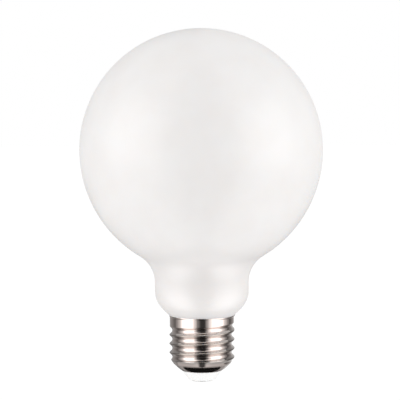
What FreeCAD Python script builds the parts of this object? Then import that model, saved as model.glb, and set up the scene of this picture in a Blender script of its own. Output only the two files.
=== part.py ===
"""Opal globe bulb with a 27 mm screw cap, in millimetres.

The origin is the centre of the contact's face at the foot of the cap, and +Z runs up the screw's axis to the crown
of the globe. The blown envelope is sealed and opaque, so it is one solid. The cap below it is four pieces: the screw
shell, one formed sheet with the thread rolled through it, the cement that bonds the glass in the shell, the insulator
moulded into the shell's foot, and the nail-shaped contact driven through the insulator.
"""
import math
import os

import FreeCAD, Part

import Sketcher

App = FreeCAD
V = App.Vector
doc = App.newDocument("globe_bulb")


# Driving dimensions

SIZES = [
    ("overall_length", 142.6, "contact face to crown"),
    ("globe_diameter", 98.2, "across the globe's equator"),
    ("shoulder_drop", 10.0, "angle below the equator where the outline turns fuller than the globe"),
    ("shoulder_fullness", 1.1, "how much larger the radius of the outline is below that"),
    ("throat_angle", 57.0, "slope of the throat from the axis"),
    ("throat_run", 1.8, "straight part of the throat, between shoulder and hollow arc"),
    ("neck_diameter", 38.0, "straight part of the neck"),
    ("heel_radius", 10.2, "round heel between neck and cap seat"),
    ("seal_height", 13.5, "closed end of the glass tube in the shell, above the contact face"),
    ("seal_round", 3.0, "rounding of that end"),
    ("metal", 0.25, "sheet of the shell"),
    ("crest_diameter", 26.3, "thread over its crests"),
    ("thread_depth", 1.02, "depth of the thread"),
    ("pitch", 3.629, "seven threads to the inch"),
    ("crest_flat", 0.8, "width of the thread's crest"),
    ("root_flat", 0.8, "width of its root"),
    ("runout_height", 23.3, "height at which the thread's root has risen out of the metal"),
    ("runout_azimuth", 100.0, "direction of that place round the axis, from +X"),
    ("runout_turn", 150.0, "part of a turn over which the root rises"),
    ("collar_recess", 0.15, "how far the plain band above the thread lies inside the crests"),
    ("collar_foot", 22.2, "height at which that band begins"),
    ("collar_step", 1.0, "height of the slope from the band down to the barrel"),
    ("lip_height", 26.05, "height at which the band turns out under the glass"),
    ("lip_reach", 1.2, "how far the lip stands out from the band"),
    ("lip_angle", 45.0, "slope of the lip from the axis"),
    ("lip_bend", 0.5, "bend between band and lip"),
    ("cone_height", 8.6, "height at which the barrel turns into the foot's cone"),
    ("cone_angle", 47.5, "slope of that cone from the axis"),
    ("cone_bend", 0.9, "bend between barrel and cone"),
    ("rim_height", 3.65, "underside of the shell's rolled-in rim"),
    ("rim_bend", 0.8, "bend between cone and rim"),
    ("rim_width", 0.6, "rim between the cone's foot and the hole"),
    ("insulator_lap", 0.25, "how far the insulator reaches out under the rim"),
    ("insulator_band", 0.3, "height of its plain band there"),
    ("insulator_foot", 10.1, "insulator at its lower edge"),
    ("insulator_stand", 0.35, "that edge above the contact face"),
    ("insulator_top", 7.0, "top of the insulator inside the shell"),
    ("contact_diameter", 9.2, "head of the contact"),
    ("contact_head", 0.8, "thickness of that head"),
    ("contact_edge", 0.25, "rounding of the head's edge"),
    ("shank_diameter", 3.0, "contact's shank"),
    ("shank_length", 9.0, "contact from its face to its point"),
    ("shank_point", 1.1, "height of that point"),
    ("cement_height", 17.0, "lower edge of the cement"),
    ("cement_wall", 0.63, "cement beside the thread"),
    ("cement_gap", 0.05, "room between the cement and the roots of the thread"),
]

sheet = doc.addObject("Spreadsheet::Sheet", "sizes")
for row, (alias, value, note) in enumerate(SIZES, start=1):
    sheet.set(f"A{row}", alias)
    sheet.set(f"B{row}", str(value))
    sheet.set(f"C{row}", note)
    sheet.setAlias(f"B{row}", alias)
doc.recompute()


def at(expression):
    """The value of an expression over the sheet's sizes."""
    return float(sheet.evalExpression(expression))


# Sketches: radius runs along a sketch's own X and height along its own Y

AXIS_OF_RADII = -1
AXIS_OF_HEIGHTS = -2
START, END, CENTRE = 1, 2, 3


def new_sketch(body, name):
    """An empty sketch in the body's XZ plane."""
    sketch = body.newObject("Sketcher::SketchObject", name)
    plane = next(feature for feature in body.Origin.OriginFeatures if feature.Role == "XZ_Plane")
    sketch.AttachmentSupport = [(plane, "")]
    sketch.MapMode = "FlatFace"
    return sketch


def hold(sketch, kind, *parts, to):
    """Add a dimension whose value is an expression over the sheet."""
    value = at(to)
    if kind == "Angle":
        value = math.radians(value)
    index = sketch.addConstraint(Sketcher.Constraint(kind, *parts, value))
    sketch.setExpression(f"Constraints[{index}]", to)


def join(sketch, kind, *parts):
    """Add a constraint that has no value, such as Tangent or Coincident."""
    sketch.addConstraint(Sketcher.Constraint(kind, *parts))


def hold_point(sketch, piece, end, radius, height):
    """Hold a point of the sketch at a radius and a height; a radius of "0" puts it on the axis."""
    if radius == "0":
        join(sketch, "PointOnObject", piece, end, AXIS_OF_HEIGHTS)
    else:
        hold(sketch, "DistanceX", AXIS_OF_RADII, START, piece, end, to=radius)
    if height == "0":
        join(sketch, "PointOnObject", piece, end, AXIS_OF_RADII)
    else:
        hold(sketch, "DistanceY", AXIS_OF_RADII, START, piece, end, to=height)


def arc_between(centre, radius, first, second):
    """The arc that runs anticlockwise about a centre from one point's direction to another's."""
    begin = math.atan2(first.y - centre.y, first.x - centre.x)
    finish = math.atan2(second.y - centre.y, second.x - centre.x)
    if finish < begin:
        finish += 2 * math.pi
    return Part.ArcOfCircle(Part.Circle(centre, V(0, 0, 1), radius), begin, finish)


def outline(body, name, corners):
    """Draw a closed anticlockwise outline of straight runs in the body's XZ plane.

    Each corner is its radius and its height and, where it is rounded, the radius of its arc, all as expressions.
    """
    sketch = new_sketch(body, name)
    count = len(corners)
    points = [V(at(corner[0]), at(corner[1]), 0) for corner in corners]
    arrive = list(points)
    leave = list(points)
    centres = {}
    for i, corner in enumerate(corners):
        if len(corner) == 3:
            back = (points[i - 1] - points[i]).normalize()
            on = (points[(i + 1) % count] - points[i]).normalize()
            half_angle = back.getAngle(on) / 2
            arrive[i] = points[i] + back * (at(corner[2]) / math.tan(half_angle))
            leave[i] = points[i] + on * (at(corner[2]) / math.tan(half_angle))
            centres[i] = points[i] + (back + on).normalize() * (at(corner[2]) / math.sin(half_angle))
    for i in range(count):
        sketch.addGeometry(Part.LineSegment(leave[i], arrive[(i + 1) % count]))
    for i, corner in enumerate(corners):
        before = (i - 1) % count
        if i not in centres:
            join(sketch, "Coincident", before, END, i, START)
            hold_point(sketch, i, START, corner[0], corner[1])
            continue
        turns_left = (points[i] - points[i - 1]).cross(points[(i + 1) % count] - points[i]).z > 0
        ends = (arrive[i], leave[i]) if turns_left else (leave[i], arrive[i])
        arc = sketch.addGeometry(arc_between(centres[i], at(corner[2]), *ends))
        join(sketch, "Tangent", before, END, arc, START if turns_left else END)
        join(sketch, "Tangent", i, START, arc, END if turns_left else START)
        hold(sketch, "Radius", arc, to=corner[2])
        apex = sketch.addGeometry(Part.Point(points[i]), True)
        hold_point(sketch, apex, START, corner[0], corner[1])
        join(sketch, "PointOnObject", apex, START, before)
        join(sketch, "PointOnObject", apex, START, i)
    return sketch


def turn(body, sketch):
    """Turn a sketch about the axis into the body's solid."""
    revolution = body.newObject("PartDesign::Revolution", f"{body.Name}_turned")
    revolution.Profile = sketch
    revolution.ReferenceAxis = (sketch, ["V_Axis"])
    revolution.Angle = 360
    sketch.Visibility = False
    return revolution


# Shell: two solid plugs, one inside each face of the sheet, and the sheet between them

ROOT_RADIUS = "sizes.crest_diameter / 2 - sizes.thread_depth"
COLLAR_RADIUS = "sizes.crest_diameter / 2 - sizes.collar_recess"
LIP_TOP = "sizes.lip_height + sizes.lip_reach / tan(sizes.lip_angle)"
RIM_EDGE = "sizes.crest_diameter / 2 - (sizes.cone_height - sizes.rim_height) * tan(sizes.cone_angle)"
HOLE_RADIUS = f"{RIM_EDGE} - sizes.rim_width"
STEP_ANGLE = "atan(sizes.collar_recess / sizes.collar_step)"
FLANK = "(sizes.pitch - sizes.crest_flat - sizes.root_flat) / (2 * sizes.thread_depth)"
# The helix is drawn through this many points in each half turn
STATIONS = 6
# Outside the metal the cutter's flanks go on to just under half a pitch, so that its turns don't meet
MOUTH_SHARE = 0.49


def plug_corners(inset):
    """Outline of the shell as if it were solid about its hole, set in from its outside by a thickness."""
    barrel = f"sizes.crest_diameter / 2 - {inset}"
    band = f"{COLLAR_RADIUS} - {inset}"
    return [
        (HOLE_RADIUS, f"sizes.rim_height + {inset}"),
        (f"{RIM_EDGE} - {inset} * tan(45 - sizes.cone_angle / 2)", f"sizes.rim_height + {inset}",
         f"sizes.rim_bend - {inset}"),
        (barrel, f"sizes.cone_height + {inset} * tan(sizes.cone_angle / 2)", f"sizes.cone_bend - {inset}"),
        (barrel, f"sizes.collar_foot - sizes.collar_step - {inset} * tan({STEP_ANGLE} / 2)"),
        (band, f"sizes.collar_foot - {inset} * tan({STEP_ANGLE} / 2)"),
        (band, f"sizes.lip_height + {inset} * tan(sizes.lip_angle / 2)", f"sizes.lip_bend + {inset}"),
        (f"{COLLAR_RADIUS} + sizes.lip_reach - {inset} / cos(sizes.lip_angle)", LIP_TOP),
        (HOLE_RADIUS, LIP_TOP),
    ]


def thread_line(radius, rise):
    """One edge of the groove: half-turn spans of a helix that rises out of the metal at its top.

    The helix starts below the foot's cone, so the groove runs out by itself where the barrel narrows.
    """
    pitch = at("sizes.pitch")
    depth = at("sizes.thread_depth")
    top = at("sizes.runout_height")
    last = at("sizes.runout_azimuth")
    rising = at("sizes.runout_turn")
    spans = math.ceil(2 * (top - at("sizes.rim_height") - pitch / 2) / pitch)
    path = []
    for i in range(spans * STATIONS + 1):
        before_end = 180 * (spans - i / STATIONS)
        share = max(0.0, 1 - before_end / rising)
        out = radius + depth * share ** 2 * (3 - 2 * share)
        angle = math.radians(last - before_end)
        path.append(V(out * math.cos(angle), out * math.sin(angle), top + rise - pitch * before_end / 360))
    helix = Part.BSplineCurve()
    helix.interpolate(path)
    joints = [helix.parameter(point) for point in path[::STATIONS]]
    return [helix.toShape(first, then) for first, then in zip(joints, joints[1:])]


def groove(name, inset):
    """Solid that cuts the thread's groove into a plug: four ruled bands along the helix, and its two ends."""
    flank = at(FLANK)
    slant = math.hypot(1, flank)
    bottom = at(ROOT_RADIUS) - inset
    half_root = at("sizes.root_flat / 2") + inset * (slant - flank)
    half_mouth = MOUTH_SHARE * at("sizes.pitch")
    mouth = bottom + (half_mouth - half_root) / flank
    lines = [
        thread_line(bottom, -half_root),
        thread_line(bottom, half_root),
        thread_line(mouth, half_mouth),
        thread_line(mouth, -half_mouth),
    ]
    faces = []
    for line, following in zip(lines, lines[1:] + lines[:1]):
        faces += [Part.makeRuledSurface(edge, across) for edge, across in zip(line, following)]
    for span, end in ((0, "FirstParameter"), (-1, "LastParameter")):
        corners = [line[span].valueAt(getattr(line[span], end)) for line in lines]
        faces.append(Part.Face(Part.makePolygon(corners + corners[:1])))
    skin = Part.Compound(faces)
    skin.sewShape()
    cutter = doc.addObject("Part::Feature", name)
    cutter.Shape = outward(Part.Solid(skin.Shells[0]))
    return cutter


def outward(solid):
    """The solid with its faces turned outward."""
    if solid.Volume < 0:
        solid.reverse()
    return solid


def threaded_plug(name, inset):
    """The solid plug inside one face of the sheet, with the thread's groove cut in it."""
    body = doc.addObject("PartDesign::Body", f"{name}_form")
    turn(body, outline(body, f"{name}_outline", plug_corners(inset)))
    plug = doc.addObject("Part::Cut", name)
    plug.Base = body
    plug.Tool = groove(f"{name}_groove", at(inset))
    return plug


def make_screw_shell():
    """The shell: the sheet between its outside and its inside."""
    shell = doc.addObject("Part::Cut", "screw_shell")
    shell.Base = threaded_plug("shell_outside", "0 * sizes.metal")
    shell.Tool = threaded_plug("shell_inside", "sizes.metal")
    return shell


# Envelope

SHOULDER_RADIUS = "sizes.globe_diameter / 2 + sizes.shoulder_fullness"
SEAT_RADIUS = f"{COLLAR_RADIUS} - sizes.metal"
SEAT_HEIGHT = "sizes.lip_height + sizes.metal * tan(sizes.lip_angle / 2)"
CEMENT_RADIUS = f"{ROOT_RADIUS} - sizes.metal - sizes.cement_gap"
SEAL_RADIUS = f"{CEMENT_RADIUS} - sizes.cement_wall"
SEAL_TOP = f"{SEAT_HEIGHT} - ({SEAT_RADIUS} - ({SEAL_RADIUS})) / tan(sizes.lip_angle)"


def make_opal_globe():
    """The envelope: globe, fuller shoulder, throat, neck and heel in tangent arcs, and the tube inside the shell.

    The hollow arc under the throat gets the radius that brings it to the neck, and the cone under the heel lies in
    the shell's lip. The arcs are drawn from the crown down, and the sketch is closed along the axis.
    """
    body = doc.addObject("PartDesign::Body", "opal_globe")
    sketch = new_sketch(body, "globe_outline")
    globe = at("sizes.globe_diameter / 2")
    shoulder = at(SHOULDER_RADIUS)
    heel = at("sizes.heel_radius")
    neck = at("sizes.neck_diameter / 2")
    seal = at(SEAL_RADIUS)
    slope = math.radians(at("sizes.throat_angle"))
    drop = math.radians(at("sizes.shoulder_drop"))
    lip = math.radians(at("sizes.lip_angle"))

    crown = V(0, at("sizes.overall_length"), 0)
    middle = crown - V(0, globe, 0)
    below = V(math.cos(drop), -math.sin(drop), 0)
    shoulder_start = middle + below * globe
    shoulder_centre = middle + below * (globe - shoulder)
    shoulder_end = shoulder_centre + V(math.cos(slope), -math.sin(slope), 0) * shoulder
    across = V(math.cos(slope), -math.sin(slope), 0)
    down = V(-math.sin(slope), -math.cos(slope), 0)
    throat_start = shoulder_end + down * at("sizes.throat_run")
    throat = (throat_start.x - neck) / (1 - across.x)
    throat_centre = throat_start + across * throat
    neck_top = throat_centre - V(throat, 0, 0)
    seat = V(at(SEAT_RADIUS), at(SEAT_HEIGHT), 0)
    under = V(math.cos(lip), -math.sin(lip), 0)
    heel_rise = (neck - heel + under.x * heel - seat.x) / math.tan(lip)
    heel_end = V(neck - heel + under.x * heel, seat.y + heel_rise, 0)
    heel_centre = heel_end - under * heel
    neck_foot = heel_centre + V(heel, 0, 0)
    seal_top = V(seal, at(SEAL_TOP), 0)
    closed = V(seal, at("sizes.seal_height"), 0)
    bend = at("sizes.seal_round")
    tip_centre = closed + V(-bend, bend, 0)

    (globe_arc, shoulder_arc, throat_run, throat_arc, neck_run, heel_arc, seat_run, seal_run, tip_arc, end_run,
     axis_run) = sketch.addGeometry([
         arc_between(middle, globe, shoulder_start, crown),
         arc_between(shoulder_centre, shoulder, shoulder_end, shoulder_start),
         Part.LineSegment(shoulder_end, throat_start),
         arc_between(throat_centre, throat, throat_centre - across, neck_top),
         Part.LineSegment(neck_top, neck_foot),
         arc_between(heel_centre, heel, heel_end, neck_foot),
         Part.LineSegment(heel_end, seal_top),
         Part.LineSegment(seal_top, closed + V(0, bend, 0)),
         arc_between(tip_centre, bend, closed - V(bend, 0, 0), closed + V(0, bend, 0)),
         Part.LineSegment(closed - V(bend, 0, 0), V(0, closed.y, 0)),
         Part.LineSegment(V(0, closed.y, 0), crown),
     ])
    join(sketch, "PointOnObject", globe_arc, CENTRE, AXIS_OF_HEIGHTS)
    hold(sketch, "Radius", globe_arc, to="sizes.globe_diameter / 2")
    hold_point(sketch, globe_arc, END, "0", "sizes.overall_length")
    hold(sketch, "DistanceY", globe_arc, START, globe_arc, CENTRE,
         to="sizes.globe_diameter / 2 * sin(sizes.shoulder_drop)")
    join(sketch, "Tangent", globe_arc, START, shoulder_arc, END)
    hold(sketch, "Radius", shoulder_arc, to=SHOULDER_RADIUS)
    join(sketch, "Tangent", shoulder_arc, START, throat_run, START)
    hold(sketch, "Angle", throat_run, END, AXIS_OF_HEIGHTS, START, to="sizes.throat_angle")
    join(sketch, "Tangent", throat_run, END, throat_arc, START)
    hold(sketch, "Distance", throat_run, to="sizes.throat_run")
    join(sketch, "Tangent", throat_arc, END, neck_run, START)
    join(sketch, "Vertical", neck_run)
    hold(sketch, "DistanceX", AXIS_OF_RADII, START, neck_run, START, to="sizes.neck_diameter / 2")
    join(sketch, "Tangent", neck_run, END, heel_arc, END)
    hold(sketch, "Radius", heel_arc, to="sizes.heel_radius")
    join(sketch, "Tangent", heel_arc, START, seat_run, START)
    hold(sketch, "Angle", seat_run, END, AXIS_OF_HEIGHTS, START, to="sizes.lip_angle")
    hold_point(sketch, seat_run, END, SEAL_RADIUS, SEAL_TOP)
    join(sketch, "Coincident", seat_run, END, seal_run, START)
    join(sketch, "Vertical", seal_run)
    join(sketch, "Tangent", seal_run, END, tip_arc, END)
    hold(sketch, "Radius", tip_arc, to="sizes.seal_round")
    join(sketch, "Tangent", tip_arc, START, end_run, START)
    join(sketch, "Horizontal", end_run)
    hold_point(sketch, end_run, END, "0", "sizes.seal_height")
    join(sketch, "Coincident", end_run, END, axis_run, START)
    join(sketch, "Coincident", axis_run, END, globe_arc, END)
    turn(body, sketch)
    return body


# Inside the cap


def make_basing_cement():
    """The ring between glass and shell: inside the thread's roots, and against the band above the thread."""
    above_thread = "sizes.runout_height + sizes.pitch / 2"
    body = doc.addObject("PartDesign::Body", "basing_cement")
    turn(body, outline(body, "cement_outline", [
        (SEAL_RADIUS, "sizes.cement_height"),
        (CEMENT_RADIUS, "sizes.cement_height"),
        (CEMENT_RADIUS, above_thread),
        (SEAT_RADIUS, above_thread),
        (SEAT_RADIUS, SEAT_HEIGHT),
        (SEAL_RADIUS, SEAL_TOP),
    ]))
    return body


def make_base_insulator():
    """The moulding that fills the shell's foot inside and out, with a seat for the contact's head."""
    body = doc.addObject("PartDesign::Body", "base_insulator")
    half_bend = "tan(45 - sizes.cone_angle / 2)"
    inner_edge = f"{RIM_EDGE} - sizes.metal * {half_bend}"
    bend_reach = f"(sizes.rim_bend - sizes.metal) * {half_bend}"
    lap_edge = f"{HOLE_RADIUS} + sizes.insulator_lap"
    turn(body, outline(body, "insulator_outline", [
        ("sizes.shank_diameter / 2", "sizes.contact_head"),
        ("sizes.contact_diameter / 2", "sizes.contact_head"),
        ("sizes.contact_diameter / 2", "sizes.insulator_stand"),
        ("sizes.insulator_foot / 2", "sizes.insulator_stand"),
        (lap_edge, "sizes.rim_height - sizes.insulator_band"),
        (lap_edge, "sizes.rim_height"),
        (HOLE_RADIUS, "sizes.rim_height"),
        (HOLE_RADIUS, "sizes.rim_height + sizes.metal"),
        (f"{inner_edge} - {bend_reach}", "sizes.rim_height + sizes.metal"),
        (f"{inner_edge} + {bend_reach} * sin(sizes.cone_angle)",
         f"sizes.rim_height + sizes.metal + {bend_reach} * cos(sizes.cone_angle)"),
        ("sizes.crest_diameter / 2 - sizes.metal / cos(sizes.cone_angle)"
         " - (sizes.cone_height - sizes.insulator_top) * tan(sizes.cone_angle)", "sizes.insulator_top"),
        ("sizes.shank_diameter / 2", "sizes.insulator_top"),
    ]))
    return body


def make_centre_contact():
    """The contact, a nail with a flat head and a round edge."""
    body = doc.addObject("PartDesign::Body", "centre_contact")
    turn(body, outline(body, "contact_outline", [
        ("0", "0"),
        ("sizes.contact_diameter / 2", "0", "sizes.contact_edge"),
        ("sizes.contact_diameter / 2", "sizes.contact_head"),
        ("sizes.shank_diameter / 2", "sizes.contact_head"),
        ("sizes.shank_diameter / 2", "sizes.shank_length - sizes.shank_point"),
        ("0", "sizes.shank_length"),
    ]))
    return body


sub_parts = [
    make_opal_globe(),
    make_screw_shell(),
    make_basing_cement(),
    make_base_insulator(),
    make_centre_contact(),
]
doc.recompute()

for part in sub_parts:
    part.Label = part.Name
    part.Placement = App.Placement()
doc.recompute()

failed = [item.Name for item in doc.Objects if "Invalid" in item.State or "Error" in item.State]
if failed:
    raise RuntimeError("these objects failed: " + ", ".join(failed))
for part in sub_parts:
    if part.Shape.isNull() or not part.Shape.isValid() or len(part.Shape.Solids) != 1:
        raise RuntimeError(f"{part.Label} isn't one valid solid")

os.makedirs("parts", exist_ok=True)
for part in sub_parts:
    part.Shape.exportStep(f"parts/{part.Label}.step")
    print(f"{part.Label}: {part.Shape.Volume:.1f} mm3, {len(part.Shape.Faces)} faces")
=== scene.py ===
# %% [markdown]
# An opal globe bulb with a screw cap, dressed for its picture. The solids of the bulb come from a CAD
# model, in metres, with the origin at the centre of the contact at the foot of the cap and +Z running up
# to the crown. In this lesson each solid that shows gets a finer skin, on the same sizes, and a finish of
# its own.

# %% Load the bulb's solids
import math

import bmesh
import bpy
import numpy as np
from mathutils import Matrix, Vector


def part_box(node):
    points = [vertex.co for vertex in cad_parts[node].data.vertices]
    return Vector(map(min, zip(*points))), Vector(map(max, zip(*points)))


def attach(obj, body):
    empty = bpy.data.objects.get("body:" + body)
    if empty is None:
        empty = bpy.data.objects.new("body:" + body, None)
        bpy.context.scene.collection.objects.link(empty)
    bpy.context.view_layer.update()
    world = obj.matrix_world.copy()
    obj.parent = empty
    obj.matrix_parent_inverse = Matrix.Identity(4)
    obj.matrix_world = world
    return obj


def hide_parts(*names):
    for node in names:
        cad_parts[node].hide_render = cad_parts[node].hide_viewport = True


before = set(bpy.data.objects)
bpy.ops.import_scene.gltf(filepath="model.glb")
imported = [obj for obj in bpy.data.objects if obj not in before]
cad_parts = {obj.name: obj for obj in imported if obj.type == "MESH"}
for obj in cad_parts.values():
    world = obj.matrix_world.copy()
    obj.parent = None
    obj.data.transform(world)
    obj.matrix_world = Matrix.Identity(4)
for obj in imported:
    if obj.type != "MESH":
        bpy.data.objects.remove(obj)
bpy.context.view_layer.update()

print("solids:", ", ".join(sorted(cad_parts)))

# %% [markdown]
# Sizes that the solids already hold are read from their boxes, so the skins follow the CAD model. The
# others are given in millimetres in the cell that first needs them, and turned into metres.

# %% Sizes of the globe
MM = 0.001

globe_low, globe_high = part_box("opal_globe")
crown = globe_high.z
globe_radius = globe_high.x
tube_foot = globe_low.z
print("globe %.1f mm across, %.1f mm overall" % (2 * globe_radius / MM, crown / MM))

# %% [markdown]
# The camera stands as the photographer's did: 0.9 m away, just under the height of the crown and looking
# slightly down, with a long lens so that the cap and the globe show in almost true proportion. In the
# picture the bulb leans to the left by a quarter of a degree, and the camera is rolled by as much.

# %% Camera
PICTURE_SIZE = 400
LENS_IN_PIXELS = 2234
SENSOR = 36
CAMERA_DISTANCE = 0.9
CAMERA_HEIGHT = 0.1411
CAMERA_LEFT = 0.00055
LOOKS_DOWN = math.radians(4.305)
ROLL = math.radians(-0.26)
FARTHEST_SEEN = 50

camera = bpy.data.objects.new("camera", bpy.data.cameras.new("camera"))
bpy.context.scene.collection.objects.link(camera)
camera.data.sensor_width = SENSOR
camera.data.lens = LENS_IN_PIXELS * SENSOR / PICTURE_SIZE
camera.data.clip_end = FARTHEST_SEEN
camera.matrix_world = (
    Matrix.Translation((-CAMERA_LEFT, -CAMERA_DISTANCE, CAMERA_HEIGHT))
    @ Matrix.Rotation(math.pi / 2 - LOOKS_DOWN, 4, "X")
    @ Matrix.Rotation(ROLL, 4, "Z")
)
bpy.context.scene.camera = camera
bpy.context.scene.view_settings.view_transform = "Standard"
print("lens %.0f mm" % camera.data.lens)

# %% [markdown]
# A finish, like a glow, is a tree of nodes. A few small steps come back in most of them: arithmetic with
# two values, a soft change from one number to another, a colour between two others, and the coordinates
# of a place. They could be drawn by hand in the shader editor. Written once as helpers, they keep each
# finish down to what is its own.

# %% Helpers for trees of nodes
def feed(tree, socket, value):
    """Give a socket a number or a colour, or what another node works out."""
    if isinstance(value, bpy.types.NodeSocket):
        tree.links.new(value, socket)
    else:
        socket.default_value = (*value, 1) if socket.type == "RGBA" else value


def worked_out(tree, operation, first, second):
    """A product, maximum or the like of two values."""
    answer = tree.nodes.new("ShaderNodeMath")
    answer.operation = operation
    feed(tree, answer.inputs[0], first)
    feed(tree, answer.inputs[1], second)
    return answer.outputs[0]


def spread(tree, value, low, high, first=0.3, last=0.7):
    """A value that runs softly from low to high while another runs from first to last."""
    ramp = tree.nodes.new("ShaderNodeMapRange")
    ramp.interpolation_type = "SMOOTHSTEP"
    tree.links.new(value, ramp.inputs["Value"])
    for socket, number in (("From Min", first), ("From Max", last), ("To Min", low), ("To Max", high)):
        ramp.inputs[socket].default_value = number
    return ramp.outputs["Result"]


def between(tree, share, first, second):
    """A colour between two others; either of them may come from another node."""
    mixed = tree.nodes.new("ShaderNodeMix")
    mixed.data_type = "RGBA"
    tree.links.new(share, mixed.inputs["Factor"])
    for name, colour in (("A", first), ("B", second)):
        feed(tree, next(s for s in mixed.inputs if s.name == name and s.type == "RGBA"), colour)
    return next(s for s in mixed.outputs if s.type == "RGBA")


def axes_of(tree, place):
    """The three coordinates of a place, by the names X, Y and Z."""
    axes = tree.nodes.new("ShaderNodeSeparateXYZ")
    tree.links.new(place, axes.inputs[0])
    return axes.outputs


print("helpers for trees of nodes are ready")

# %% [markdown]
# The tent, the floor and the cards of a studio are plain forms: circles, and bands of quads between
# circles. Blender has ready shapes for them, but they come from operators, which act on whatever is
# active at the time. A mesh made from its points and faces depends on nothing else, and says exactly
# where each point lies.

# %% Helpers for plain forms
def mesh_of(name, points, faces):
    """A mesh from its points and faces."""
    mesh = bpy.data.meshes.new(name)
    mesh.from_pydata(points, [], faces)
    return mesh


def level_circle(radius, height, around):
    """Points on a level circle round the axis."""
    turns = [2 * math.pi * step / around for step in range(around)]
    return [(radius * math.cos(turn), radius * math.sin(turn), height) for turn in turns]


def bands(circles, around):
    """Quads that join each of several circles to the next."""
    return [
        (ring * around + step, ring * around + (step + 1) % around,
         (ring + 1) * around + (step + 1) % around, (ring + 1) * around + step)
        for ring in range(circles - 1) for step in range(around)
    ]


def add_to_scene(name, mesh, finish):
    """A new object of a mesh, in one finish."""
    thing = bpy.data.objects.new(name, mesh)
    bpy.context.scene.collection.objects.link(thing)
    mesh.materials.append(finish)
    return thing


def only_reflections_see(thing):
    """Hide a thing from everything but reflections in glossy surfaces."""
    thing.visible_camera = False
    thing.visible_diffuse = False
    thing.visible_transmission = False
    thing.visible_volume_scatter = False
    thing.visible_shadow = False


STUDIO_AROUND = 96
print("studio forms take %d steps round" % STUDIO_AROUND)

# %% [markdown]
# Polished nickel shows the studio more than itself, so the studio is designed in the round. It is a pale
# tent with a tall white panel on each side of the camera, and a dark gap between them where the
# photographer stands. Round the cap stands a low ring of paper: it gives the metal narrower gaps and
# darker strips than the glass would bear. Both are planned here as belts, one above the other, each a
# list of how bright the tent or the ring is at which azimuth.

# %% Belts of glow
# Azimuth in degrees from the camera, minus to the left, and a share of the full glow
BELOW = [
    (-180, 0.09), (-166, 0.12), (-152, 0.28), (-135, 0.38), (-90, 0.42), (-50, 0.50), (-20, 0.05),
    (20, 0.05), (50, 0.50), (90, 0.42), (135, 0.38), (152, 0.28), (166, 0.12),
]
SIDES = [
    (-180, 0.32), (-150, 0.40), (-115, 0.42), (-98, 0.42), (-88, 1.0), (-43, 1.0), (-33, 0.24),
    (0, 0.15), (33, 0.24), (43, 1.0), (86, 1.0), (96, 0.48), (115, 0.52), (150, 0.45),
]
OVERHEAD = [
    (-180, 0.40), (-100, 0.50), (-50, 0.58), (-12, 0.24),
    (12, 0.24), (50, 0.58), (100, 0.50),
]
CAP_LOW = [
    (-154, 0.08), (-133, 0.20), (-119, 0.16), (-91, 0.08), (-81, 0.18), (-71, 0.36), (-57, 1.0),
    (-29, 1.0), (-21, 0.38), (-14, 0.05), (-4, 0.01), (10, 0.01), (17, 0.10), (24, 0.50), (32, 1.0),
    (60, 1.0), (74, 0.40), (86, 0.16), (98, 0.05), (112, 0.12), (138, 0.30),
]
CAP_HIGH = [
    (-154, 0.08), (-133, 0.22), (-119, 0.17), (-91, 0.09), (-81, 0.20), (-71, 0.38), (-57, 1.0),
    (-29, 1.0), (-18, 0.46), (-12, 0.14), (-2, 0.025), (7, 0.025), (16, 0.27), (22, 0.60), (32, 1.0),
    (61, 1.0), (75, 0.42), (86, 0.18), (98, 0.06), (112, 0.14), (138, 0.30),
]
print("stops in the belts:", [len(stops) for stops in (BELOW, SIDES, OVERHEAD, CAP_LOW, CAP_HIGH)])

# %% [markdown]
# A glow can be painted by direction: the azimuth of a point runs a ramp of greys, and its height fades
# one belt into the next. That takes a few nodes and no lamps. The belts of the ring don't close on the
# shade they open with, so behind the bulb there is a seam, and the cap shows its reflection from behind.

# %% Paint for a glow
def belt(tree, round_share, stops):
    """One belt: a ramp of greys by the share of the way round."""
    ramp = tree.nodes.new("ShaderNodeValToRGB")
    ramp.color_ramp.interpolation = "EASE"
    while len(ramp.color_ramp.elements) < len(stops):
        ramp.color_ramp.elements.new(1)
    for stop, (degrees, share) in zip(ramp.color_ramp.elements, stops):
        stop.position = degrees / 360 + 0.5
        stop.color = (share, share, share, 1)
    tree.links.new(round_share, ramp.inputs["Fac"])
    return ramp.outputs["Color"]


def painted_glow(name, strength, belts, meets):
    """Glow painted by direction, in belts from the foot up; each fades into the next between two heights."""
    glow = bpy.data.materials.new(name)
    glow.use_nodes = True
    tree = glow.node_tree
    tree.nodes.clear()
    axes = axes_of(tree, tree.nodes.new("ShaderNodeTexCoord").outputs["Object"])
    to_camera = worked_out(tree, "MULTIPLY", axes["Y"], -1)
    turn = worked_out(tree, "ARCTAN2", axes["X"], to_camera)
    round_share = tree.nodes.new("ShaderNodeMapRange")
    round_share.inputs["From Min"].default_value = -math.pi
    round_share.inputs["From Max"].default_value = math.pi
    tree.links.new(turn, round_share.inputs["Value"])
    colour, *higher_belts = [belt(tree, round_share.outputs["Result"], stops) for stops in belts]
    for start, end, higher in zip(meets[::2], meets[1::2], higher_belts):
        colour = between(tree, spread(tree, axes["Z"], 0, 1, start, end), colour, higher)
    light = tree.nodes.new("ShaderNodeEmission")
    light.inputs["Strength"].default_value = strength
    tree.links.new(colour, light.inputs["Color"])
    surface = tree.nodes.new("ShaderNodeOutputMaterial")
    tree.links.new(light.outputs[0], surface.inputs["Surface"])
    return glow


print("paint for a glow is ready")

# %% [markdown]
# The tent is a sphere round the bulb, closed by a small disc at each pole, and the ring is a band without
# thickness. Only reflections see them; the camera looks through them, and they light nothing else.

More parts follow.
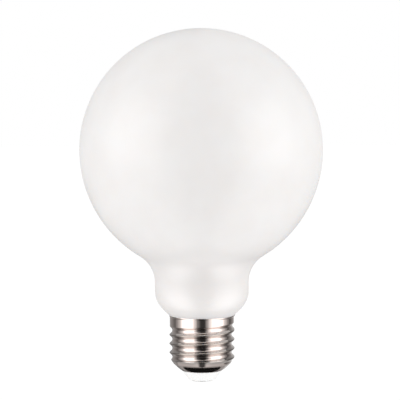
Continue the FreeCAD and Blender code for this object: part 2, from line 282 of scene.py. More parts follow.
# %% Tent and ring that the bulb reflects
TENT_RADIUS = 0.45
TENT_HEIGHT = 0.05
TENT_CIRCLES = 47
TENT_MEETS_AT = (-12, 2, 32, 48)
PANEL_GLOW = 1.48
RING_RADIUS = 0.03
RING_FOOT = -0.012
RING_TOP = 0.036
RING_MEETS = (0.015, 0.020)
RING_GLOW = 1.95


def tent_mesh(name):
    """A sphere of quads, closed by a small disc at each pole."""
    points = []
    for circle in range(1, TENT_CIRCLES + 1):
        fall = math.pi * circle / (TENT_CIRCLES + 1)
        points += level_circle(TENT_RADIUS * math.sin(fall), TENT_RADIUS * math.cos(fall), STUDIO_AROUND)
    top_disc = tuple(range(STUDIO_AROUND))
    foot_disc = tuple(range((TENT_CIRCLES - 1) * STUDIO_AROUND, TENT_CIRCLES * STUDIO_AROUND))
    return mesh_of(name, points, bands(TENT_CIRCLES, STUDIO_AROUND) + [top_disc, foot_disc])


def ring_mesh(name):
    """An upright ring without thickness."""
    circles = [level_circle(RING_RADIUS, height, STUDIO_AROUND) for height in (RING_FOOT, RING_TOP)]
    return mesh_of(name, circles[0] + circles[1], bands(2, STUDIO_AROUND))


tent_meets = [TENT_RADIUS * math.sin(math.radians(degrees)) for degrees in TENT_MEETS_AT]
tent_glow = painted_glow("tent_glow", PANEL_GLOW, (BELOW, SIDES, OVERHEAD), tent_meets)
ring_glow = painted_glow("ring_glow", RING_GLOW, (CAP_LOW, CAP_HIGH), RING_MEETS)
tent = add_to_scene("tent", tent_mesh("tent"), tent_glow)
tent.location.z = TENT_HEIGHT
paper_ring = add_to_scene("paper_ring", ring_mesh("paper_ring"), ring_glow)
only_reflections_see(tent)
only_reflections_see(paper_ring)
print("tent of %.2f m, paper ring of %.0f mm" % (TENT_RADIUS, RING_RADIUS / MM))

# %% [markdown]
# A paint for the studio is the simplest finish: one shader with a matt grey. The floor's paint also glows
# a little where the camera, metal or glass sees it, so that it meets the white background, while light
# that falls on the bulb doesn't count the glow.

# %% Paints for floor and card
FLOOR_WHITE = 0.9
FLOOR_GLOW = 0.14
CARD_BLACK = 0.008


def new_finish(name):
    """A material with one shader, and its tree of nodes."""
    finish = bpy.data.materials.new(name)
    finish.use_nodes = True
    return finish, finish.node_tree, finish.node_tree.nodes["Principled BSDF"]


def matt_paint(name, grey):
    """Matt paint in one grey, without gloss."""
    paint, tree, shader = new_finish(name)
    feed(tree, shader.inputs["Base Color"], (grey, grey, grey))
    feed(tree, shader.inputs["Roughness"], 1)
    feed(tree, shader.inputs["Specular IOR Level"], 0)
    return paint, tree, shader


def seen_background(tree):
    """1 for what the camera sees directly, in metal or through glass, and 0 for light on the bulb."""
    path = tree.nodes.new("ShaderNodeLightPath")
    share = path.outputs["Is Camera Ray"]
    for name in ("Is Glossy Ray", "Is Transmission Ray"):
        share = worked_out(tree, "MAXIMUM", share, path.outputs[name])
    return share


floor_paint, floor_tree, floor_shader = matt_paint("floor_paint", FLOOR_WHITE)
feed(floor_tree, floor_shader.inputs["Emission Color"], (1, 1, 1))
feed(floor_tree, floor_shader.inputs["Emission Strength"],
     worked_out(floor_tree, "MULTIPLY", seen_background(floor_tree), FLOOR_GLOW))
card_paint, _, _ = matt_paint("card_black", CARD_BLACK)
print("paints:", floor_paint.name, card_paint.name)

# %% [markdown]
# The bulb hangs in the air, as in the photograph, over a plain pale floor, far enough up for its soft
# shadow to fall out of the picture. Under the cap lies a black card that only reflections see. Its oval
# front edge gives the black crescent on the cone at the cap's foot, which tells the eye that this metal
# is polished. A dark stop in the tent's ramps could do the same, but a card has an edge as sharp as the
# one in the photograph.

# %% Floor and black card
FLOOR_DROP = 0.62
FLOOR_RADIUS = 14
CARD_DROP = 0.12
CARD_FRONT = 0.0088
CARD_BACK = 0.11
CARD_HALF_WIDTH = 0.078
CARD_HALF_DEPTH = 0.123
CARD_STEPS = 24


def card_mesh(name):
    """A flat card under the cap: an oval front edge and a straight back edge."""
    reach = math.acos((CARD_FRONT + CARD_HALF_DEPTH - CARD_BACK) / CARD_HALF_DEPTH)
    turns = [reach * step / CARD_STEPS for step in range(-CARD_STEPS, CARD_STEPS + 1)]
    points = [
        (CARD_HALF_WIDTH * math.sin(turn), CARD_FRONT + CARD_HALF_DEPTH * (1 - math.cos(turn)), -CARD_DROP)
        for turn in turns
    ]
    return mesh_of(name, points, [tuple(range(len(points)))])


floor_circle = level_circle(FLOOR_RADIUS, -FLOOR_DROP, STUDIO_AROUND)
floor = add_to_scene("floor", mesh_of("floor", floor_circle, [tuple(range(STUDIO_AROUND))]), floor_paint)
card = add_to_scene("black_card", card_mesh("black_card"), card_paint)
only_reflections_see(card)
print("floor %.2f m under the contact" % FLOOR_DROP)

# %% [markdown]
# The light on the bulb itself comes from the white world and from three large soft lamps: one on each
# side, for the bright edges of the globe, and one low in front, for the white foot. They are kept weak,
# so that the opal glass renders about as bright as its own colour. The world is plain white where the
# camera, metal or glass sees it.

# %% World and soft lamps
WORLD_LIGHT = 1.0
LAMP_DISTANCE = 1.1
SIDE_RISE = math.radians(-15)
SIDE_SIZE = (0.9, 1.3)
FOOT_RISE = math.radians(-27)
FOOT_SIZE = (1.2, 0.4)
# Name, azimuth in degrees from the camera (minus is to the left), watts, rise, and size in metres
LAMPS = [
    ("left_lamp", -88, 2.3, SIDE_RISE, SIDE_SIZE),
    ("right_lamp", 90, 2.8, SIDE_RISE, SIDE_SIZE),
    ("foot_lamp", 0, 0.6, FOOT_RISE, FOOT_SIZE),
]


def white_world():
    """White where it is seen, and a plain light level on the bulb."""
    world = bpy.data.worlds.new("white_world")
    world.use_nodes = True
    tree = world.node_tree
    background = tree.nodes["Background"]
    feed(tree, background.inputs["Color"], (1, 1, 1))
    feed(tree, background.inputs["Strength"], spread(tree, seen_background(tree), WORLD_LIGHT, 1, 0, 1))
    return world


def soft_lamp(name, azimuth, power, rise, size):
    """A large rectangular lamp that faces the bulb, unseen by the camera and in reflections."""
    data = bpy.data.lights.new(name, "AREA")
    data.shape = "RECTANGLE"
    data.size, data.size_y = size
    data.energy = power
    lamp = bpy.data.objects.new(name, data)
    bpy.context.scene.collection.objects.link(lamp)
    turn = math.radians(azimuth)
    away = Vector((math.sin(turn) * math.cos(rise), -math.cos(turn) * math.cos(rise), math.sin(rise)))
    lamp.location = away * LAMP_DISTANCE + Vector((0, 0, crown / 2))
    lamp.rotation_euler = away.to_track_quat("Z", "Y").to_euler()
    lamp.visible_camera = False
    lamp.visible_glossy = False


bpy.context.scene.world = white_world()
for lamp_facts in LAMPS:
    soft_lamp(*lamp_facts)
print("world at %.2f and %d soft lamps" % (WORLD_LIGHT, len(LAMPS)))

# %% [markdown]
# Most of the bulb is round about its axis, so its pieces start as half an outline: points with a radius
# and a height. An outline here is made of arcs and straight runs, never of points measured one by one.
# These helpers draw an arc, round the corners of an outline, and divide its long runs.

# %% Helpers for outlines
ARC_STEP = math.radians(2.5)
CORNER_STEP = 3 * ARC_STEP


def direction(degrees):
    """Unit step in an outline, by degrees from the radius."""
    return Vector((math.cos(math.radians(degrees)), math.sin(math.radians(degrees))))


def arc(centre, radius, first, last, step=ARC_STEP):
    """Points on an arc of an outline, between two directions in degrees from the radius."""
    count = max(2, math.ceil(abs(math.radians(last - first)) / step))
    angles = [math.radians(first + (last - first) * i / count) for i in range(count + 1)]
    return [centre + Vector((math.cos(a), math.sin(a))) * radius for a in angles]


def rounded(corners, closed=False):
    """Outline of straight runs, with a bend at each corner that gives the radius of one."""
    count = len(corners)
    places = [Vector(corner[:2]) for corner in corners]
    points = []
    for i, corner in enumerate(corners):
        inner = closed or 0 < i < count - 1
        if len(corner) < 3 or not inner:
            points.append(places[i])
            continue
        back = (places[i - 1] - places[i]).normalized()
        on = (places[(i + 1) % count] - places[i]).normalized()
        half_angle = back.angle(on) / 2
        centre = places[i] + (back + on).normalized() * (corner[2] / math.sin(half_angle))
        arrive = places[i] + back * (corner[2] / math.tan(half_angle)) - centre
        leave = places[i] + on * (corner[2] / math.tan(half_angle)) - centre
        first = math.degrees(math.atan2(arrive.y, arrive.x))
        sweep = math.degrees(math.atan2(arrive.cross(leave), arrive.dot(leave)))
        points += arc(centre, corner[2], first, first + sweep, CORNER_STEP)
    return points


def divided(points, longest):
    """The same outline with its long runs divided."""
    finer = [points[0]]
    for start, end in zip(points, points[1:]):
        pieces = max(1, math.ceil((end - start).length / longest))
        finer += [start.lerp(end, i / pieces) for i in range(1, pieces + 1)]
    return finer


print("a quarter of a circle takes %d points" % len(arc(Vector((0, 0)), 1, 0, 90)))

# %% [markdown]
# An outline becomes a piece when it is turned about the axis, as clay on a wheel. The screw modifier
# could do it, but the thread needs its rings of points one by one, so both go through the same grid of
# quads. Each finished skin then takes the place of a solid: the solid hides, and the skin rides on the
# same body.

# %% Helpers for skins
WELD_REACH = 1e-7
TURNED_AROUND = 192


def grid_mesh(name, rows, closed):
    """Mesh of quads over rings of points (rows x steps x 3); closed joins the last ring to the first."""
    ring_count, around = rows.shape[:2]
    last = ring_count if closed else ring_count - 1
    ring, step = np.meshgrid(np.arange(last), np.arange(around), indexing="ij")
    above = (ring + 1) % ring_count
    beside = (step + 1) % around
    corners = [ring * around + step, ring * around + beside, above * around + beside, above * around + step]
    return mesh_of(name, rows.reshape(-1, 3).tolist(), np.stack(corners, axis=-1).reshape(-1, 4).tolist())


def change_mesh(mesh, change):
    """Open a mesh for editing, let a function change it, and write it back."""
    work = bmesh.new()
    work.from_mesh(mesh)
    change(work)
    work.to_mesh(mesh)
    work.free()


def turned(name, outline, around=TURNED_AROUND, closed=False):
    """Turn an outline about the axis; the points of an open one that lie together on the axis are joined."""
    turn = np.linspace(0, 2 * math.pi, around, endpoint=False)
    radii = np.array([max(point.x, 0) for point in outline])
    heights = np.array([point.y for point in outline])
    rows = np.stack([np.outer(radii, np.cos(turn)), np.outer(radii, np.sin(turn)),
                     np.outer(heights, np.ones(around))], axis=-1)
    mesh = grid_mesh(name, rows, closed)
    if not closed:
        mesh.update()
        change_mesh(mesh, lambda work: bmesh.ops.remove_doubles(work, verts=work.verts, dist=WELD_REACH))
    return mesh


def smooth(mesh, sharpest=40):
    """Smooth shading, but for edges that turn by more than an angle in degrees, and faces turned outward."""
    change_mesh(mesh, lambda work: bmesh.ops.recalc_face_normals(work, faces=work.faces))
    mesh.shade_smooth()
    mesh.set_sharp_from_angle(angle=math.radians(sharpest))


def dress(name, mesh, finish, node):
    """Put a finished skin in the place of a solid."""
    smooth(mesh)
    piece = add_to_scene(name, mesh, finish)
    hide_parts(node)
    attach(piece, "root")
    print("%s: %d faces for %s" % (name, len(mesh.polygons), node))


print("a turned piece has %d points round" % TURNED_AROUND)

# %% [markdown]
# The envelope is blown from a glass tube, so globe, throat, neck and heel flow into each other without an
# edge. A sphere and a cylinder joined by hand would show a seam. Here one outline runs from the crown to
# the closed tube in the cap, in arcs that share a tangent where they meet. Below the equator the outline
# is a little fuller than the globe, as glass sags while it is blown.

# %% Outline of the opal globe
SHOULDER_DROP = 10
SHOULDER_FULLNESS = 1.1 * MM
THROAT_SLOPE = 57
THROAT_RUN = 1.8 * MM
NECK_RADIUS = 19.0 * MM
HEEL_RADIUS = 10.2 * MM
TUBE_RADIUS = 11.2 * MM
TUBE_ROUND = 3.0 * MM
LIP_SLOPE = 45
GLOBE_STEP = ARC_STEP / 2
GLOBE_RUN = 2 * MM

_, cement_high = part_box("basing_cement")
seat_radius = cement_high.x
seat_height = cement_high.z


def globe_outline():
    """Half outline of the envelope, from the crown down and round to the axis."""
    middle = Vector((0, crown - globe_radius))
    shoulder_radius = globe_radius + SHOULDER_FULLNESS
    shoulder_centre = middle - direction(-SHOULDER_DROP) * SHOULDER_FULLNESS
    shoulder_end = shoulder_centre + direction(-THROAT_SLOPE) * shoulder_radius
    throat_start = shoulder_end + direction(-THROAT_SLOPE - 90) * THROAT_RUN
    throat_radius = (throat_start.x - NECK_RADIUS) / (1 - direction(-THROAT_SLOPE).x)
    throat_centre = throat_start + direction(-THROAT_SLOPE) * throat_radius
    heel_x = NECK_RADIUS - HEEL_RADIUS + direction(-LIP_SLOPE).x * HEEL_RADIUS
    heel_end = Vector((heel_x, seat_height + (heel_x - seat_radius) / math.tan(math.radians(LIP_SLOPE))))
    heel_centre = heel_end - direction(-LIP_SLOPE) * HEEL_RADIUS
    tube_top = seat_height - (seat_radius - TUBE_RADIUS) / math.tan(math.radians(LIP_SLOPE))
    tip_centre = Vector((TUBE_RADIUS - TUBE_ROUND, tube_foot + TUBE_ROUND))
    points = arc(middle, globe_radius, 90, -SHOULDER_DROP, GLOBE_STEP)
    points += arc(shoulder_centre, shoulder_radius, -SHOULDER_DROP, -THROAT_SLOPE, GLOBE_STEP)[1:]
    points += arc(throat_centre, throat_radius, 180 - THROAT_SLOPE, 180)
    points += arc(heel_centre, HEEL_RADIUS, 0, -LIP_SLOPE)
    points.append(Vector((TUBE_RADIUS, tube_top)))
    points += arc(tip_centre, TUBE_ROUND, 0, -90)
    points.append(Vector((0, tube_foot)))
    return divided(points, GLOBE_RUN)


envelope_outline = globe_outline()
print("outline of the globe: %d points" % len(envelope_outline))

# %% [markdown]
# All textures are worked out from the place of a point on the bulb, so they need no pictures and no
# unwrapping. A noise gives soft spots of a chosen size, which colour and gloss can follow, and a bump
# raises the surface by them.

# %% Helpers for textures
def place_on_bulb(tree, stretch=(1, 1, 1)):
    """The place of a point in metres, scaled along each axis; a smaller scale draws a texture out."""
    place = tree.nodes.new("ShaderNodeTexCoord")
    stretched = tree.nodes.new("ShaderNodeMapping")
    stretched.inputs["Scale"].default_value = stretch
    tree.links.new(place.outputs["Object"], stretched.inputs["Vector"])
    return stretched.outputs["Vector"]


def noise(tree, place, size, detail):
    """Soft random spots of about a size in metres."""
    spots = tree.nodes.new("ShaderNodeTexNoise")
    spots.inputs["Scale"].default_value = 1 / size
    spots.inputs["Detail"].default_value = detail
    tree.links.new(place, spots.inputs["Vector"])
    return spots.outputs["Fac"]


def bump(tree, height, depth, under=None):
    """Raise a surface by a texture, by a depth in metres; it may lie on another bump."""
    raised = tree.nodes.new("ShaderNodeBump")
    raised.inputs["Distance"].default_value = depth
    tree.links.new(height, raised.inputs["Height"])
    if under:
        tree.links.new(under, raised.inputs["Normal"])
    return raised.outputs["Normal"]


def set_looks(tree, shader, looks):
    """Set or feed the sockets of a shader by their names."""
    for socket, value in looks.items():
        feed(tree, shader.inputs[socket], value)


print("helpers for textures are ready")

# %% [markdown]
# Opal glass is white all through and lets light wander inside it, which is why a globe looks soft and
# almost without shade. Plain white paint would look like plaster. Subsurface scattering gives that glow.
# The outside is satin, so the panels show as two broad pale patches, and a faint cloudiness in colour and
# sheen keeps it from looking drawn. The throat is painted a little darker and warmer, as painted shade
# where it lies under the globe's bulge, and it is more matt.

# %% Opal glass
OPAL_PALE = (0.842, 0.822, 0.811)
OPAL_CLEAR = (0.858, 0.845, 0.839)
# Painted shade: the throat's colour is a little darker and warmer, for the shade under the globe's bulge
OPAL_THROAT_SHADE = (0.815, 0.792, 0.782)
OPAL_SHEEN = (0.285, 0.315)
THROAT_SHEEN = (0.40, 0.40, 0.40)
THROAT_FROM = 66 * MM
THROAT_TO = 44 * MM
GLASS_INDEX = 1.5
INNER_LIGHT = 0.6
INNER_TINT = (1.0, 0.9, 0.8)
INNER_REACH = 9 * MM
CLOUD_SIZE = 14 * MM
CLOUD_DEPTH = 0.01 * MM
GRAIN_SIZE = 0.25 * MM
GRAIN_DEPTH = 0.001 * MM


def opal_glass():
    """Satin opal glass: cloudy near-white, with painted shade in the throat, and light inside it."""
    finish, tree, shader = new_finish("opal_glass")
    place = place_on_bulb(tree)
    clouds = noise(tree, place, CLOUD_SIZE, 4)
    grain = noise(tree, place, GRAIN_SIZE, 2)
    body = between(tree, spread(tree, clouds, 0, 1), OPAL_PALE, OPAL_CLEAR)
    # Share of the throat, for its painted shade in the colour and its more matt sheen
    low = spread(tree, axes_of(tree, place)["Z"], 1, 0, THROAT_TO, THROAT_FROM)
    set_looks(tree, shader, {
        "Base Color": between(tree, low, body, OPAL_THROAT_SHADE),
        "Roughness": between(tree, low, spread(tree, clouds, *OPAL_SHEEN), THROAT_SHEEN),
        "IOR": GLASS_INDEX,
        "Specular IOR Level": 1,
        "Subsurface Weight": INNER_LIGHT,
        "Subsurface Radius": INNER_TINT,
        "Subsurface Scale": INNER_REACH,
        "Normal": bump(tree, grain, GRAIN_DEPTH, bump(tree, clouds, CLOUD_DEPTH)),
    })
    return finish


dress("opal_envelope", turned("opal_envelope", envelope_outline), opal_glass(), "opal_globe")

# %% [markdown]
# The shell of the cap is one sheet of metal, a quarter of a millimetre thick. It is drawn to a cup, the
# rim is turned in, the lip is turned out under the glass, and the thread is rolled through the sheet
# between two shaped wheels. A rolled thread has no sharp edge: a wide round root and a tight round crest,
# joined by straight flanks. The screw modifier would wind such a wave, but not let it rise into the plain
# collar. So the wave is a formula here: the radius at each height and azimuth.

# %% Wave of the rolled thread
PITCH = 3.629 * MM
CREST_RADIUS = 13.20 * MM
CREST_BEND = 0.30 * MM
ROOT_BEND = 1.35 * MM
FLANK_SLOPE = math.radians(47)
FLANK_LENGTH = (PITCH / 2 - (CREST_BEND + ROOT_BEND) * math.sin(FLANK_SLOPE)) / math.cos(FLANK_SLOPE)
THREAD_DEPTH = (CREST_BEND + ROOT_BEND) * (1 - math.cos(FLANK_SLOPE)) + FLANK_LENGTH * math.sin(FLANK_SLOPE)
ROOT_RADIUS = CREST_RADIUS - THREAD_DEPTH
RUNOUT_HEIGHT = 23.3 * MM
RUNOUT_AZIMUTH = 100
RUNOUT_TURN = 150


def thread_wave(height, azimuth):
    """Radius of the thread, from arrays of heights in metres and azimuths in degrees."""
    half = PITCH / 2
    root_edge = ROOT_BEND * math.sin(FLANK_SLOPE)
    crest_edge = CREST_BEND * math.sin(FLANK_SLOPE)
    before_end = np.mod(RUNOUT_AZIMUTH - azimuth, 360)
    turn = np.maximum(np.round((RUNOUT_HEIGHT - height) / PITCH - before_end / 360), 0)
    before_end = before_end + 360 * turn
    off = np.minimum(np.abs(height - RUNOUT_HEIGHT + PITCH * before_end / 360), half)
    on_root = np.minimum(off, root_edge)
    on_crest = np.minimum(half - off, crest_edge)
    radius = ROOT_RADIUS + ROOT_BEND - np.sqrt(ROOT_BEND ** 2 - on_root ** 2)
    flank = np.clip(off - root_edge, 0, half - root_edge - crest_edge) * math.tan(FLANK_SLOPE)
    below_crest = CREST_BEND - np.sqrt(CREST_BEND ** 2 - on_crest ** 2)
    crest_drop = CREST_BEND * (1 - math.cos(FLANK_SLOPE)) - below_crest
    radius = radius + flank + crest_drop
    share = np.clip(1 - before_end / RUNOUT_TURN, 0, 1)
    lift = THREAD_DEPTH * share ** 2 * (3 - 2 * share)
    return radius + lift


print("thread: pitch %.3f mm, depth %.2f mm" % (PITCH / MM, THREAD_DEPTH / MM))

# %% [markdown]
# The plain form of the shell is an outline again: rim, long bend of the foot, a bead as fine as a hair,
# cone, barrel, collar and lip. The bead is the mark of the tool that turns the foot in, and catches a
# thin line of light.

# %% Plain form of the shell
SHEET = 0.25 * MM
COLLAR_RADIUS = 13.0 * MM
COLLAR_FOOT = 22.2 * MM
COLLAR_STEP = 1.0 * MM
LIP_HEIGHT = 26.0 * MM
LIP_REACH = 1.45 * MM
LIP_BEND = 0.5 * MM
CONE_HEIGHT = 9.2 * MM
CONE_BEND = 0.6 * MM
CONE_RADIUS = 13.15 * MM
KNUCKLE_RADIUS = 11.56 * MM
KNUCKLE_HEIGHT = 7.0 * MM
KNUCKLE_BEND = 0.3 * MM
BEAD_HEIGHT = 6.62 * MM
BEAD_WIDTH = 0.4 * MM
BEAD_STAND = 0.032 * MM
BEAD_CROWN_BEND = 0.15 * MM
BEAD_EDGE_BEND = 0.1 * MM
FOOT_BEND_RADIUS = 9.15 * MM
FOOT_BEND_HEIGHT = 4.75 * MM
FOOT_BEND = 8 * MM
RIM_RADIUS = 8.1 * MM
RIM_RISE = 0.45 * MM
RIM_WIDTH = 0.7 * MM
RIM_BEND = 0.4 * MM
SHELL_STEP = 0.17 * MM

shell_low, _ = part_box("screw_shell")
rim_underside = shell_low.z + RIM_RISE
hole_radius = RIM_RADIUS - RIM_WIDTH
lip_rise = LIP_REACH / math.tan(math.radians(LIP_SLOPE))


def on_foot_cone(height):
    """Radius of the lower cone at a height."""
    share = (height - FOOT_BEND_HEIGHT) / (KNUCKLE_HEIGHT - FOOT_BEND_HEIGHT)
    return FOOT_BEND_RADIUS + share * (KNUCKLE_RADIUS - FOOT_BEND_RADIUS)


def shell_form():
    """Half outline of the shell's outside without its thread, from the rim's hole up to the lip."""
    edge = direction(LIP_SLOPE) * (SHEET / 2)
    bead_foot = BEAD_HEIGHT - BEAD_WIDTH / 2
    bead_top = BEAD_HEIGHT + BEAD_WIDTH / 2
    corners = [
        (hole_radius + SHEET / 2, rim_underside),
        (RIM_RADIUS, rim_underside, RIM_BEND),
        (FOOT_BEND_RADIUS, FOOT_BEND_HEIGHT, FOOT_BEND),
        (on_foot_cone(bead_foot), bead_foot, BEAD_EDGE_BEND),
        (on_foot_cone(BEAD_HEIGHT) + BEAD_STAND, BEAD_HEIGHT, BEAD_CROWN_BEND),
        (on_foot_cone(bead_top), bead_top, BEAD_EDGE_BEND),
        (KNUCKLE_RADIUS, KNUCKLE_HEIGHT, KNUCKLE_BEND),
        (CONE_RADIUS, CONE_HEIGHT, CONE_BEND),
        (CREST_RADIUS, CONE_HEIGHT + 2 * CONE_BEND),
        (CREST_RADIUS, COLLAR_FOOT - COLLAR_STEP),
        (COLLAR_RADIUS, COLLAR_FOOT),
        (COLLAR_RADIUS, LIP_HEIGHT, LIP_BEND),
        (COLLAR_RADIUS + LIP_REACH - edge.x, LIP_HEIGHT + lip_rise - edge.y),
    ]
    return divided(rounded(corners), SHELL_STEP)


plain_form = shell_form()
print("plain form of the shell: %d points" % len(plain_form))

# %% [markdown]
# Wherever the thread's wave lies inside the plain form, the metal follows the wave. The wave is taken at
# every height, so it also holds the lip back to the crest's radius, except from the right round to the
# back, where the run-out lifts it: a fault of this skin, for the solid's lip is whole. Then every point
# is set in by the thickness of the sheet, square to the surface, for the inside, and both edges of the
# sheet are closed with a round.

# %% Skin of the shell
SHELL_AROUND = 240
BLEND = 0.2 * MM
LEAST_BLEND = 1e-9


def softly_less(first, second, reach):
    """The smaller of two radii, with the edge between them rounded over a reach."""
    share = np.clip(0.5 + (second - first) / (2 * reach), 0, 1)
    return second * (1 - share) + first * share - reach * share * (1 - share)


def shell_outside(form, around):
    """Rings of points on the shell's outside, thread and all."""
    azimuth = np.linspace(0, 360, around, endpoint=False)[None, :]
    radius = np.array([point.x for point in form])[:, None]
    height = np.array([point.y for point in form])[:, None]
    reach = np.clip(2 * (CREST_RADIUS - radius), LEAST_BLEND, BLEND)
    radius = softly_less(radius, thread_wave(height, azimuth), reach)
    turn = np.radians(azimuth)
    return np.stack([radius * np.cos(turn), radius * np.sin(turn), height * np.ones_like(turn)], axis=-1)


def unit(vectors):
    """Vectors of length 1."""
    return vectors / np.linalg.norm(vectors, axis=-1, keepdims=True)


def shell_rings(outside):
    """Rings round the sheet's section: outside, round of the lip, inside, round of the rim's edge."""
    upward = unit(np.gradient(outside, axis=0))
    sideways = np.roll(outside, -1, axis=1) - np.roll(outside, 1, axis=1)
    outward = unit(np.cross(sideways, upward))
    inside = outside - outward * SHEET

    def edge_round(row, way):
        """Three rings that round the edge of the sheet at one of its end rows."""
        centre = (outside[row] + inside[row]) / 2
        return [
            centre + (outward[row] * np.cos(a) + way * upward[row] * np.sin(a)) * (SHEET / 2)
            for a in np.radians([45, 90, 135])
        ]

    rings = [outside, edge_round(-1, 1), inside[::-1], edge_round(0, -1)[::-1]]
    return np.concatenate([np.asarray(part) for part in rings])


shell_rows = shell_rings(shell_outside(plain_form, SHELL_AROUND))
print("shell: %d rings of %d points" % shell_rows.shape[:2])

# %% [markdown]
# The shell is brass plated with nickel, which is a warm grey mirror. A perfect mirror would look drawn,
# so the finish is a metal with a little roughness that varies, and with the fine lines that rolling
# leaves round the cap. Out from its roots the thread is a darker, browner nickel over the flanks, and
# darker still on the crests. Both tones are laid by the distance from the axis, so they follow the thread
# without a picture.

# %% Nickel plate
NICKEL = (0.690, 0.600, 0.562)
# Darker tones of the thread: over the flanks out from the roots, and darker still on the crests
NICKEL_FLANK_TONE = (0.560, 0.515, 0.490)
NICKEL_CREST_TONE = (0.440, 0.385, 0.350)
NICKEL_SHEEN = (0.05, 0.08)
FLANK_TONE_SHARE = (0.7, 1)
FLANK_TONE_FROM = ROOT_RADIUS + 0.15 * MM
FLANK_TONE_TO = ROOT_RADIUS + 0.5 * MM
CREST_TONE_FROM = CREST_RADIUS - 0.2 * MM
CREST_TONE_TO = CREST_RADIUS - 0.05 * MM
PATCH_SIZE = 2.5 * MM
LINE_SIZE = 0.12 * MM
LINE_STRETCH = (0.03, 0.03, 1)
LINE_DEPTH = 0.0003 * MM


def from_axis(tree, axes):
    """Distance of a point from the bulb's axis."""
    level = tree.nodes.new("ShaderNodeCombineXYZ")
    tree.links.new(axes["X"], level.inputs["X"])
    tree.links.new(axes["Y"], level.inputs["Y"])
    distance = tree.nodes.new("ShaderNodeVectorMath")
    distance.operation = "LENGTH"
    tree.links.new(level.outputs[0], distance.inputs[0])
    return distance.outputs["Value"]


def nickel_plate():
    """Warm polished nickel: fine lines round the cap, and darker tones on the thread's flanks and crests."""
    finish, tree, shader = new_finish("nickel_plate")
    place = place_on_bulb(tree)
    lines = noise(tree, place_on_bulb(tree, LINE_STRETCH), LINE_SIZE, 2)
    patches = noise(tree, place, PATCH_SIZE, 4)
    axes = axes_of(tree, place)
    radius = from_axis(tree, axes)
    on_flank = spread(tree, radius, 0, 1, FLANK_TONE_FROM, FLANK_TONE_TO)
    on_thread = spread(tree, axes["Z"], 1, 0, COLLAR_FOOT - COLLAR_STEP, COLLAR_FOOT)
    on_crest = spread(tree, radius, 0, 1, CREST_TONE_FROM, CREST_TONE_TO)
    # A darker, patchy tone out from the roots, then a darker one again on the crests
    flank_tone = between(tree, spread(tree, patches, *FLANK_TONE_SHARE), NICKEL, NICKEL_FLANK_TONE)
    flank = between(tree, on_flank, NICKEL, flank_tone)
    thread = between(tree, on_crest, flank, NICKEL_CREST_TONE)
    set_looks(tree, shader, {
        "Base Color": between(tree, on_thread, NICKEL, thread),
        "Metallic": 1,
        "Roughness": spread(tree, patches, *NICKEL_SHEEN),
        "Normal": bump(tree, lines, LINE_DEPTH),
    })
    return finish


shell_mesh = grid_mesh("nickel_shell", shell_rows, closed=True)
dress("nickel_shell", shell_mesh, nickel_plate(), "screw_shell")

# %% [markdown]
# The white moulding in the cap's foot keeps the shell and the contact apart. It fills the shell's foot
# from inside, runs straight up to the metal's edge outside, and narrows to a ring round the contact. It
# could be cut from a cylinder by booleans. An outline turned about the axis, as for the globe, is
# simpler, and takes the small rounds that a mould leaves on the edges that show.

# %% Outline of the insulator
LAP = 0.05 * MM
LAP_BEND = 0.05 * MM
FOOT_RADIUS = 5.25 * MM
FOOT_EDGE_BEND = 0.25 * MM
SEAT_BEND = 0.1 * MM
HEAD_THICKNESS = 0.8 * MM
SHANK_RADIUS = 1.5 * MM
HOLD_WIDTH = 0.2 * MM
INNER_STEP = 0.5 * MM
TOP_SPREAD = 1.1 * MM
MOULDING_RUN = 1 * MM

moulding_low, moulding_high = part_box("base_insulator")
_, contact_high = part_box("centre_contact")
head_radius = contact_high.x
stand = moulding_low.z
inner_top = moulding_high.z


def insulator_outline():
    """Closed outline of the moulding, anticlockwise from the contact's seat."""
    return divided(rounded([
        (SHANK_RADIUS, HEAD_THICKNESS),
        (head_radius, HEAD_THICKNESS),
        (head_radius, stand, SEAT_BEND),
        (FOOT_RADIUS, stand, FOOT_EDGE_BEND),
        (RIM_RADIUS + LAP, rim_underside, LAP_BEND),
        (hole_radius, rim_underside),
        (hole_radius, rim_underside + SHEET),
        (RIM_RADIUS - HOLD_WIDTH, rim_underside + SHEET),
        (FOOT_BEND_RADIUS - INNER_STEP, FOOT_BEND_HEIGHT),
        (FOOT_BEND_RADIUS + TOP_SPREAD, inner_top),
        (SHANK_RADIUS, inner_top),
    ], closed=True), MOULDING_RUN)


moulding_outline = insulator_outline()
print("outline of the insulator: %d points" % len(moulding_outline))

# %% [markdown]
# The moulding is a hard white plastic with a soft gloss. One plain colour could do from afar. Close by, a
# faint flow pattern from the mould and a little light that goes in at the edges tell it from painted
# metal.

# %% White moulding
WHITE = (0.965, 0.958, 0.95)
WHITE_FLOW = (0.95, 0.942, 0.93)
WHITE_SHEEN = (0.30, 0.42)
WHITE_GLOSS = 0.3
EDGE_LIGHT = 0.15
EDGE_TINT = (1, 0.9, 0.8)
EDGE_REACH = 1 * MM
FLOW_SIZE = 3 * MM
FLOW_STRETCH = (1, 1, 2.5)
SKIN_SIZE = 0.15 * MM
SKIN_DEPTH = 0.0008 * MM
MOULDING_AROUND = 144


def white_moulding():
    """Hard white plastic with faint flow marks."""
    finish, tree, shader = new_finish("white_moulding")
    place = place_on_bulb(tree)
    flow = noise(tree, place_on_bulb(tree, FLOW_STRETCH), FLOW_SIZE, 4)
    skin = noise(tree, place, SKIN_SIZE, 2)
    set_looks(tree, shader, {
        "Base Color": between(tree, spread(tree, flow, 0, 1), WHITE, WHITE_FLOW),
        "Roughness": spread(tree, flow, *WHITE_SHEEN),
        "Specular IOR Level": WHITE_GLOSS,
        "Subsurface Weight": EDGE_LIGHT,
        "Subsurface Radius": EDGE_TINT,
        "Subsurface Scale": EDGE_REACH,
        "Normal": bump(tree, skin, SKIN_DEPTH),
    })
    return finish


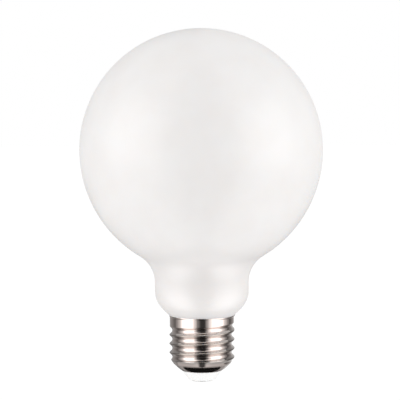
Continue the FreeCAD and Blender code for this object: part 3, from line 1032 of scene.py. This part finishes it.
moulding_mesh = turned("white_insulator", moulding_outline, MOULDING_AROUND, closed=True)
dress("white_insulator", moulding_mesh, white_moulding(), "base_insulator")

# %% [markdown]
# The contact is a nail: a flat head under the moulding, and a shank that is driven up through it. Only
# the edge of the head shows from the side. Two cylinders could stand for it, but one outline turned about
# the axis gives the rounded edge and the point in one mesh.

# %% Outline of the contact nail
HEAD_EDGE = 0.25 * MM
POINT_HEIGHT = 1.1 * MM
POINT_BEND = 0.2 * MM
NAIL_RUN = 0.5 * MM
NAIL_AROUND = 96


def nail_outline():
    """Half outline of the nail, from the middle of its face round to its point."""
    tip = contact_high.z
    return divided(rounded([
        (0, 0),
        (head_radius, 0, HEAD_EDGE),
        (head_radius, HEAD_THICKNESS),
        (SHANK_RADIUS, HEAD_THICKNESS),
        (SHANK_RADIUS, tip - POINT_HEIGHT, POINT_BEND),
        (0, tip),
    ]), NAIL_RUN)


nail_mesh = turned("contact_nail", nail_outline(), NAIL_AROUND)
print("nail: %.1f mm across its head" % (2 * head_radius / MM))

# %% [markdown]
# The head is lathe turned, so its finish has fine rings about the axis. A wave texture draws them,
# slightly uneven, and patches of dull metal show where the contact has been touched.

# %% Metal of the contact
CONTACT_METAL = (0.90, 0.885, 0.865)
CONTACT_DULL = (0.80, 0.78, 0.75)
CONTACT_SHEEN = (0.45, 0.6)
DULL_SHARE = (0, 0.7)
DULL_SIZE = 1.2 * MM
LATHE_RING = 1.2 * MM
LATHE_WANDER = 0.6
LATHE_DEPTH = 0.003 * MM


def contact_metal():
    """Plated metal with rings from the lathe and dull patches where it has been touched."""
    finish, tree, shader = new_finish("contact_metal")
    place = place_on_bulb(tree)
    patches = noise(tree, place, DULL_SIZE, 5)
    rings = tree.nodes.new("ShaderNodeTexWave")
    rings.wave_type = "RINGS"
    rings.rings_direction = "Z"
    rings.inputs["Scale"].default_value = 1 / LATHE_RING
    rings.inputs["Distortion"].default_value = LATHE_WANDER
    tree.links.new(place, rings.inputs["Vector"])
    set_looks(tree, shader, {
        "Base Color": between(tree, spread(tree, patches, *DULL_SHARE), CONTACT_METAL, CONTACT_DULL),
        "Metallic": 1,
        "Roughness": spread(tree, patches, *CONTACT_SHEEN),
        "Normal": bump(tree, rings.outputs["Fac"], LATHE_DEPTH),
    })
    return finish


dress("contact_nail", nail_mesh, contact_metal(), "centre_contact")

# %% [markdown]
# The cement between glass and shell is hidden once the cap is on, and its solid needs no finer skin. It
# still gets its own finish, for whoever takes the cap apart: a baked paste, sandy and matt, with small
# pits.

# %% Basing cement
CEMENT = (0.56, 0.50, 0.41)
CEMENT_DARK = (0.38, 0.33, 0.26)
CEMENT_SHEEN = (0.8, 0.95)
SAND_SIZE = 0.5 * MM
PIT_DEPTH = 0.08 * MM


def baked_cement():
    """Sandy matt paste with pits."""
    finish, tree, shader = new_finish("baked_cement")
    sand = noise(tree, place_on_bulb(tree), SAND_SIZE, 6)
    set_looks(tree, shader, {
        "Base Color": between(tree, spread(tree, sand, 0, 1), CEMENT, CEMENT_DARK),
        "Roughness": spread(tree, sand, *CEMENT_SHEEN),
        "Normal": bump(tree, sand, PIT_DEPTH),
    })
    return finish


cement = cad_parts["basing_cement"]
cement.data.materials.clear()
cement.data.materials.append(baked_cement())
print("cement: kept as its solid, %d faces" % len(cement.data.polygons))
